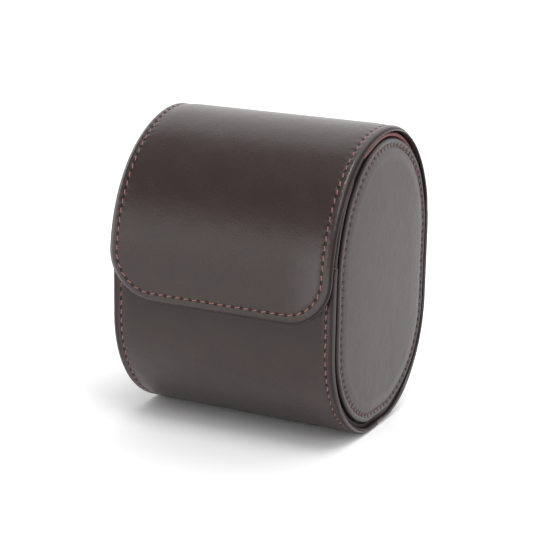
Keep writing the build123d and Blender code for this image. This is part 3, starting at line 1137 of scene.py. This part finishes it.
# %% [markdown]
# ## End covers, welt and ring
#
# The groove between the strip and the rim holds a cord that is whipped with thread all along. It
# shows only over the crown. Lower down the strip's leather is turned into the groove as a flat
# ring, and the welt lies deep behind it. The ring has painted shade in front and a painted sheen
# towards the back. The whipping is a slanted pattern on the cord, because its single turns are
# finer than a stitch's plies; the dark colour between the turns is painted shade.

# %% Profiles of the end covers
COVER_DIP = 1.94
cover_rim = [
    (-2.5, 0.02), (-2.58, 0.4), (-2.6, 0.85), (-2.57, 1.2), (-2.48, 1.52), (-2.32, 1.84),
    (-2.1, 2.1), (-1.82, 2.29), (-1.5, 2.38), (-1.2, 2.38), (-0.92, 2.31), (-0.68, 2.2),
    (-0.46, 2.08), (-0.24, 1.98), (0, 1.94), (0.24, 1.98), (0.48, 2.09), (0.75, 2.22),
    (1.05, 2.34), (1.45, 2.45), (2.0, 2.56), (2.8, 2.68), (3.8, 2.78),
]  # fmt: skip
cover_crown = [
    (0.04, 2.84), (0.1, 2.92), (0.18, 3.0), (0.28, 3.08), (0.4, 3.15), (0.55, 3.21), (0.7, 3.25),
    (0.85, 3.27), (1.0, 3.28),
]  # fmt: skip

# %% The welt and the ring beside it
WELT_RADIUS, WELT_OUT = 0.72, 1.2
WELT_SINK, WELT_FADE = 1.4, 7
WELT_ENDS_FRONT, WELT_ENDS_BACK = 90.5, 80
RING_INSET = 1.87
RING_DEPTH, RING_BACK_DEPTH = 1.4, 0.8
RING_FRONT_TOP, RING_BACK_TOP = 97.4, 93.5
RING_END_SINK, RING_END_OVER = 1.8, 4
RING_BACK_FROM, RING_BACK_OVER = -5, 30
# Painted light on the ring: painted shade in front, a painted sheen towards the back
RING_PAINTED_SHADE, RING_PAINTED_SHEEN = -0.35, 0.5
RING_STATIONS, WELT_STATIONS, WELT_AROUND = 241, 361, 15
ring_top = back_top(RING_INSET, END_CROWN)
ring_front = front_top(RING_INSET, END_CROWN, HALF_DEPTH)
ring_path = Path(
    [
        ring_front[ring_front[:, 1] < RING_FRONT_TOP],
        lower(-1, RING_INSET)[::-1],
        lower(1, RING_INSET),
        ring_top[ring_top[:, 1] < RING_BACK_TOP],
    ]
)
ring_profile = [
    (3.5, 0), (0.3, 0), (0.12, 0.08), (0.03, 0.24), (0.0, 0.5), (0.0, 0.95), (0.04, 1.2),
    (0.14, 1.38), (0.34, 1.5), (3.5, 1.5), (3.5, 0),
]  # fmt: skip
ring_stations = np.linspace(0, ring_path.length, RING_STATIONS)
ring_y = ring_path.at(ring_stations, 0 * ring_stations)[0]
ring_behind = smooth_step((ring_y - RING_BACK_FROM) / RING_BACK_OVER)
ring_light = RING_PAINTED_SHADE + RING_PAINTED_SHEEN * ring_behind
round_turns = np.linspace(0, math.tau, WELT_AROUND)
welt_profile = np.stack(
    [WELT_RADIUS * np.sin(round_turns), WELT_OUT + WELT_RADIUS * np.cos(round_turns)], 1
)
seam_oval, welt_oval = end_path(SEAM_INSET), end_path(WELT_INSET)
print("seam, ring and welt of an end, mm:", seam_oval.length, ring_path.length, welt_oval.length)

# %% End covers, seams, rings and welts
for side, word in SIDES:
    on_seam = end_wrap(seam_oval, side)
    cover = padded_oval(
        word + "_padded_end", seam_oval, cover_rim, cover_crown, on_seam, cover_leather
    )
    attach(cover, "case")

    def ring_place(q, d, h):
        """Places on the ring in the groove, which sinks away at both its ends."""
        to_end = np.minimum(q, ring_path.length - q)
        behind = np.interp(q, ring_stations, ring_behind)
        ends = RING_END_SINK * smooth_step(1 - to_end / RING_END_OVER)
        sunk = RING_DEPTH + (RING_BACK_DEPTH - RING_DEPTH) * behind + ends
        return ring_path.places(side * (HALF_LENGTH - sunk - d), q, -h)

    ring = sweep(
        word + "_groove_ring",
        ring_stations,
        ring_profile,
        ring_place,
        plain_leather,
        painted_light=ring_light,
    )
    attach(ring, "case")
    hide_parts(word + "_end_cover", word + "_end_foam")
    stitches = stitch_row(
        word + "_end_stitches",
        stitch_centres(seam_oval.length, END_PITCH),
        0,
        COVER_DIP + END_THREAD_PROUD,
        on_seam,
        fine_thread,
        END_STITCH_LENGTH,
        FINE_WIDTH,
    )
    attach(stitches, "case")

    def welt_place(q, d, h):
        """Places on the welt: proud over the crown, deep in the groove elsewhere."""
        y, z = welt_oval.at(q, 0 * q)
        ends = np.where(y < 0, WELT_ENDS_FRONT, WELT_ENDS_BACK)
        shown = smooth_step((z - ends) / WELT_FADE)
        return welt_oval.places(side * (END_FACE - WELT_SINK * (1 - shown) + h), q, -d)

    welt = sweep(
        word + "_whipped_welt",
        np.linspace(0, welt_oval.length, WELT_STATIONS),
        welt_profile,
        welt_place,
        welt_thread,
        maps="thread",
    )
    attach(welt, "case")
    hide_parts(word + "_welt")

# %% [markdown]
# ## Edge binding
#
# The top edges of the end boards show when the flap is open. A thin strip of leather is glued over
# them, so that no grey board shows. A coloured edge on the board itself would be simpler, but the
# step of the strip catches the light.

# %% Bound top edges of the end boards
BINDING = 0.25
UNDER_EDGE = 3
BINDING_STATIONS = 61
board_top = front_top(END_BOARD_INSET, END_CROWN, HALF_DEPTH)
board_back = back_top(END_BOARD_INSET, END_CROWN)
binding_path = Path(
    [
        board_back[board_back[:, 1] > FOLD_POINT[1] - UNDER_EDGE],
        board_top[board_top[:, 1] > RIM_TOP - UNDER_EDGE],
    ]
)
binding_stations = np.linspace(0, binding_path.length, BINDING_STATIONS)
binding_profile = [
    (-0.2, -0.6), (-0.2, BINDING - 0.1), (-0.1, BINDING), (2.0, BINDING), (2.08, BINDING - 0.1),
    (2.08, -1.4), (1.95, -1.4), (1.95, -0.02), (-0.1, -0.02), (-0.1, -0.6), (-0.2, -0.6),
]  # fmt: skip
for side, word in SIDES:

    def binding_place(q, d, h):
        """Places on the binding: d inwards from the board's outer face, h out of its edge."""
        return binding_path.places(side * (END_FACE - d), q, h)

    binding = sweep(
        word + "_edge_binding", binding_stations, binding_profile, binding_place, plain_leather
    )
    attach(binding, "case")

# %% [markdown]
# ## The end linings
#
# Inside, each end is faced with the same suede, on a thin pad with a rounded rim. It is the padded
# oval once more, only flatter.

# %% End linings
BOARD_THICK, LINING_INSET = 2.0, 2.9
lining_oval = end_path(LINING_INSET)
lining_rim = [(0, 0.02), (0, 0.3), (0.06, 0.45), (0.2, 0.55), (0.45, 0.6), (1.2, 0.6)]
lining_crown = [(0.3, 0.6), (1.0, 0.6)]
for side, word in SIDES:

    def inward(q, d, h):
        """Places on the inner face of an end board, heights inwards."""
        return lining_oval.places(side * (END_FACE - BOARD_THICK - h), q, -d)

    facing = padded_oval(
        word + "_end_suede_lining",
        lining_oval,
        lining_rim,
        lining_crown,
        inward,
        suede_lining,
        step=1.6,
    )
    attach(facing, "case")
    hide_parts(word + "_end_lining")

# %% [markdown]
# ## The watch pillow
#
# The pillow is a suede tube filled with foam. Two oval ends are sewn into it, and the seams pull
# the tube in, so that it is fullest in the middle. It lies on the lining and takes the watch strap.
# Gathers like these could come from a cloth simulation; a few waves that fade away from the seam
# are exact, and the same each time.

# %% The pillow's oval
PILLOW_LOW, PILLOW_HIGH = corners("pillow_sleeve")
pillow_radius = PILLOW_HIGH[1]
pillow_mid = (PILLOW_LOW[2] + PILLOW_HIGH[2]) / 2
pillow_straight = (PILLOW_HIGH[2] - PILLOW_LOW[2]) / 2 - pillow_radius
pillow_under, pillow_over = (0, pillow_mid - pillow_straight), (0, pillow_mid + pillow_straight)
pillow_oval = Path(
    [
        [(0, PILLOW_LOW[2])],
        arc(pillow_under, (pillow_radius,) * 2, -90, 0),
        arc(pillow_over, (pillow_radius,) * 2, 0, 180),
        arc(pillow_under, (pillow_radius,) * 2, 180, 270),
    ]
)

# %% The pillow's sleeve
PILLOW_SEAM_X = 31.6
PILLOW_AROUND, PILLOW_ALONG = 180, 72
PULL, PULL_REACH = 2.2, 0.16
TUCK, TUCK_REACH = 0.5, 0.03
GATHER, GATHER_REACH, GATHERS = 0.35, 0.2, 46
SAG, SAGS = 0.25, 3
SLEEVE_IN, OVER_LINING = 0.3, 0.02


def pillow_tube():
    """The sleeve: full in the middle, drawn in and gathered at both seams."""
    bm = bmesh.new()
    q = np.linspace(0, pillow_oval.length, PILLOW_AROUND + 1)
    x = np.linspace(-PILLOW_SEAM_X, PILLOW_SEAM_X, PILLOW_ALONG + 1)
    vertices, i, j = grid(bm, PILLOW_AROUND, PILLOW_ALONG)
    edge = (PILLOW_SEAM_X - np.abs(x[j])) / PILLOW_SEAM_X
    drawn = PULL * np.exp(-edge / PULL_REACH) + TUCK * np.exp(-edge / TUCK_REACH)
    turn = math.tau * i / PILLOW_AROUND
    gather = GATHER * np.exp(-edge / GATHER_REACH) * np.cos(GATHERS * turn)
    sag = SAG * np.cos(SAGS * turn) * edge
    y, z = pillow_oval.at(q[i], -drawn - gather - SLEEVE_IN + sag)
    z = np.maximum(z, PILLOW_LOW[2] + OVER_LINING)
    move(vertices, np.stack([x[j], y, z], 1))
    return finished(closed(bm), "pillow_suede_sleeve", pillow_suede)


pillow = pillow_tube()
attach(pillow, "pillow")
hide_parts("pillow_sleeve", "pillow_core")

# %% The pillow's ends
pillow_rim = [
    (2.4, -1.0), (1.9, -0.2), (1.75, 0.3), (1.9, 0.8), (2.3, 1.15), (2.9, 1.25), (3.4, 1.1),
    (3.8, 0.8), (4.3, 0.95), (5.2, 1.3), (6.5, 1.6),
]  # fmt: skip
pillow_crown = [(0.1, 1.8), (0.25, 1.95), (0.45, 2.05), (0.7, 2.1), (1.0, 2.15)]
for side, word in SIDES:

    def on_pillow(q, d, h):
        """Places on a pillow end, heights outwards from its seam."""
        return pillow_oval.places(side * (PILLOW_SEAM_X + h), q, -d)

    pad = padded_oval(
        word + "_pillow_pad",
        pillow_oval,
        pillow_rim,
        pillow_crown,
        on_pillow,
        pillow_suede,
        (0, pillow_mid),
    )
    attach(pad, "pillow")
    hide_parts(word + "_pillow_end")

# %% [markdown]
# ## Boards, foam and magnets
#
# Three hidden finishes complete the case: grey bookbinder's board, open-cell foam and nickel-plated
# magnets. They are the CAD solids themselves with a real finish. Leather or paint over all of them
# would do while the case is shut, but a part that is opened or cut should look right inside.


# %% Hidden finishes
SPECKLE_DEEP = 0.1 * MM


def speckled(name, colour, dark, scale, rough, metal=0.0):
    """A plain finish with fine speckles of a second tone."""
    made, tree, shader = material(name)
    grains = noise(tree, add(tree, "ShaderNodeTexCoord")["Object"], scale, 2.0)
    finish = {
        "Base Color": tinted(tree, ramp(tree, grains, 0.4, 0.6), dark, colour),
        "Normal": bump(tree, 0.3, SPECKLE_DEEP, grains),
        "Roughness": rough,
        "Metallic": metal,
    }
    wire(tree, shader, finish)
    return made


# Grey board, open foam and nickel plate
grey_board = speckled("bookbinders_grey_board", "#8f8c87", "#77746f", 900.0, 0.9)
pad_foam = speckled("open_cell_foam", "#cfc8b4", "#b7af99", 1500.0, 0.95)
magnet_nickel = speckled("nickel_plated_magnet", "#b9bbbd", "#aeb0b3", 400.0, 0.28, metal=1.0)

# %% Real finishes on the CAD solids
HIDDEN = {
    "board": grey_board,
    "foam": pad_foam,
    "core": pad_foam,
    "magnet": magnet_nickel,
    "lining": suede_lining,
    "pillow": pillow_suede,
    "welt": welt_thread,
    "": plain_leather,
}
for node_name, carried in frame["nodes"].items():
    carried.data.materials.clear()
    carried.data.materials.append(next(HIDDEN[word] for word in HIDDEN if word in node_name))
print("CAD solids with a real finish:", len(frame["nodes"]))

# %% [markdown]
# ## Floor
#
# The case stands on a plain pale sweep, lit like the case, so it takes the case's shadow. Seen by
# the camera or in a reflection its colour is brighter than real paper, so that the open floor reads
# as white and only the shadow under the case stays grey. The light on the case stays at a plain
# level.

# %% Floor
PAPER, PAPER_SEEN = 0.86, 1.13
FLOOR_HALF = 20
floor_finish, tree, shader = material("white_paper_sweep")
tree.nodes.remove(shader)
# 1 for a ray from the camera, or one that comes by way of a gloss or a glass, else 0
ray = add(tree, "ShaderNodeLightPath")
seen = maths(tree, "MAXIMUM", ray["Is Camera Ray"], ray["Is Glossy Ray"])
seen = maths(tree, "MAXIMUM", seen, ray["Is Transmission Ray"])
white = tinted(tree, seen, (PAPER,) * 3 + (1,), (PAPER_SEEN,) * 3 + (1,))
paper = add(tree, "ShaderNodeBsdfDiffuse", {"Color": white})[0]
tree.links.new(paper, tree.nodes["Material Output"].inputs["Surface"])
bm = bmesh.new()
bmesh.ops.create_grid(bm, x_segments=1, y_segments=1, size=FLOOR_HALF)
floor_mesh = bpy.data.meshes.new("paper_sweep")
bm.to_mesh(floor_mesh)
bm.free()
floor_mesh.materials.append(floor_finish)
floor = bpy.data.objects.new("paper_sweep", floor_mesh)
bpy.context.scene.collection.objects.link(floor)
print("floor:", floor.name)

# %% [markdown]
# ## Light
#
# A pale room stands round the case, because smooth leather shows what is round it. A bright wall
# behind gives the crest its grey sheen, and a bright band near the horizon lights the front. The
# ceiling in front is dim, so the upper front stays dark, and it brightens a little overhead. The
# side of the room by the camera is dim too, so the edges that face it stay dark between their
# bright lines.
#
# One broad lamp, nearly overhead and a little to the front right, draws the bright lines along the
# rolled edges and keeps a short shadow under the case. A small softbox on the right carries those
# lines on down the edges.

# %% Room
BACK_WALL, HORIZON, CEILING, ZENITH, BY_CAMERA = 1.47, 1.65, 0.33, 0.48, 0.35
scene = bpy.context.scene
room = bpy.data.worlds.new("white_room")
room.use_nodes = True
tree = room.node_tree
way = add(tree, "ShaderNodeSeparateXYZ", {0: add(tree, "ShaderNodeTexCoord")["Generated"]})
behind = soft_ramp(tree, way[1], 0.05, 0.45)
above = soft_ramp(tree, way[2], 0.2, 0.56)
overhead = soft_ramp(tree, way[2], 0.6, 0.95, CEILING, ZENITH)
to_right, to_front = soft_ramp(tree, way[0], 0.0, 0.25), soft_ramp(tree, way[1], -0.25, -0.5)
low = between(tree, maths(tree, "MULTIPLY", to_right, to_front), HORIZON, BY_CAMERA)
in_front = between(tree, above, low, overhead)
strength = between(tree, behind, in_front, BACK_WALL)
wire(tree, tree.nodes["Background"], {"Color": linear("#ffffff"), "Strength": strength})
scene.world = room


# %% Lamp and softbox
LAMP_AT, LAMP_ENERGY, LAMP_SPREAD = (0.2, -0.17, 0.97), 0.95, 25
SOFTBOX_AT, SOFTBOX_ENERGY, SOFTBOX_SIZE = (0.87, -0.54, 0.85), 2.0, (0.3, 0.5)
CASE_MIDDLE = (0, 0, 0.05)


def look(forward):
    """Rotation rows for something that looks along `forward` with its top upwards."""
    z = -np.array(forward, float) / np.linalg.norm(forward)
    x = np.cross((0, 0, 1), z)
    x /= np.linalg.norm(x)
    return np.stack([x, np.cross(z, x), z], 1).tolist()


def aim(name, data, place, target):
    """A lamp at a place, in metres, turned to its target."""
    made = bpy.data.objects.new(name, data)
    scene.collection.objects.link(made)
    made.location = place
    made.rotation_euler = Matrix(look(np.array(target, float) - np.array(place, float))).to_euler()
    return made


lamp = bpy.data.lights.new("top_lamp", "SUN")
lamp.energy = LAMP_ENERGY
lamp.angle = math.radians(LAMP_SPREAD)
aim("top_lamp", lamp, LAMP_AT, (0, 0, 0))
softbox = bpy.data.lights.new("right_softbox", "AREA")
softbox.shape = "RECTANGLE"
softbox.size, softbox.size_y = SOFTBOX_SIZE
softbox.energy = SOFTBOX_ENERGY
aim("right_softbox", softbox, SOFTBOX_AT, CASE_MIDDLE)
print("room, lamp and softbox:", room.name, lamp.name, softbox.name)

# %% [markdown]
# ## Camera
#
# The camera stands to the right of the front and looks down a little. A short lens up close would
# make the near end look swollen, so a long lens far away keeps the uprights nearly parallel.

# %% Camera
YAW, PITCH, ROLL = (math.radians(a) for a in (26.73, 15.16, 1.062))
ASIDE, RAISED, AWAY, MIDDLE_HEIGHT = -2.423, 0.113, 589.8, 50
LENS, FILM = 117.6, 36
forward = np.array(
    [-math.sin(YAW) * math.cos(PITCH), math.cos(YAW) * math.cos(PITCH), -math.sin(PITCH)]
)
level = np.array([math.cos(YAW), math.sin(YAW), 0])
above = np.cross(level, forward)
right = math.cos(ROLL) * level + math.sin(ROLL) * above
up = -math.sin(ROLL) * level + math.cos(ROLL) * above
eye = ASIDE * right + RAISED * up - AWAY * forward + np.array([0, 0, MIDDLE_HEIGHT])
camera = bpy.data.objects.new("camera", bpy.data.cameras.new("camera"))
scene.collection.objects.link(camera)
turn = Matrix(np.stack([right, up, -forward], 1).tolist()).to_4x4()
camera.matrix_world = Matrix.Translation((eye * MM).tolist()) @ turn
camera.data.lens = LENS
camera.data.sensor_width = FILM
camera.data.clip_start = 0.01
scene.camera = camera
print("camera, mm from the origin:", eye)
scene.view_settings.view_transform = "Standard"
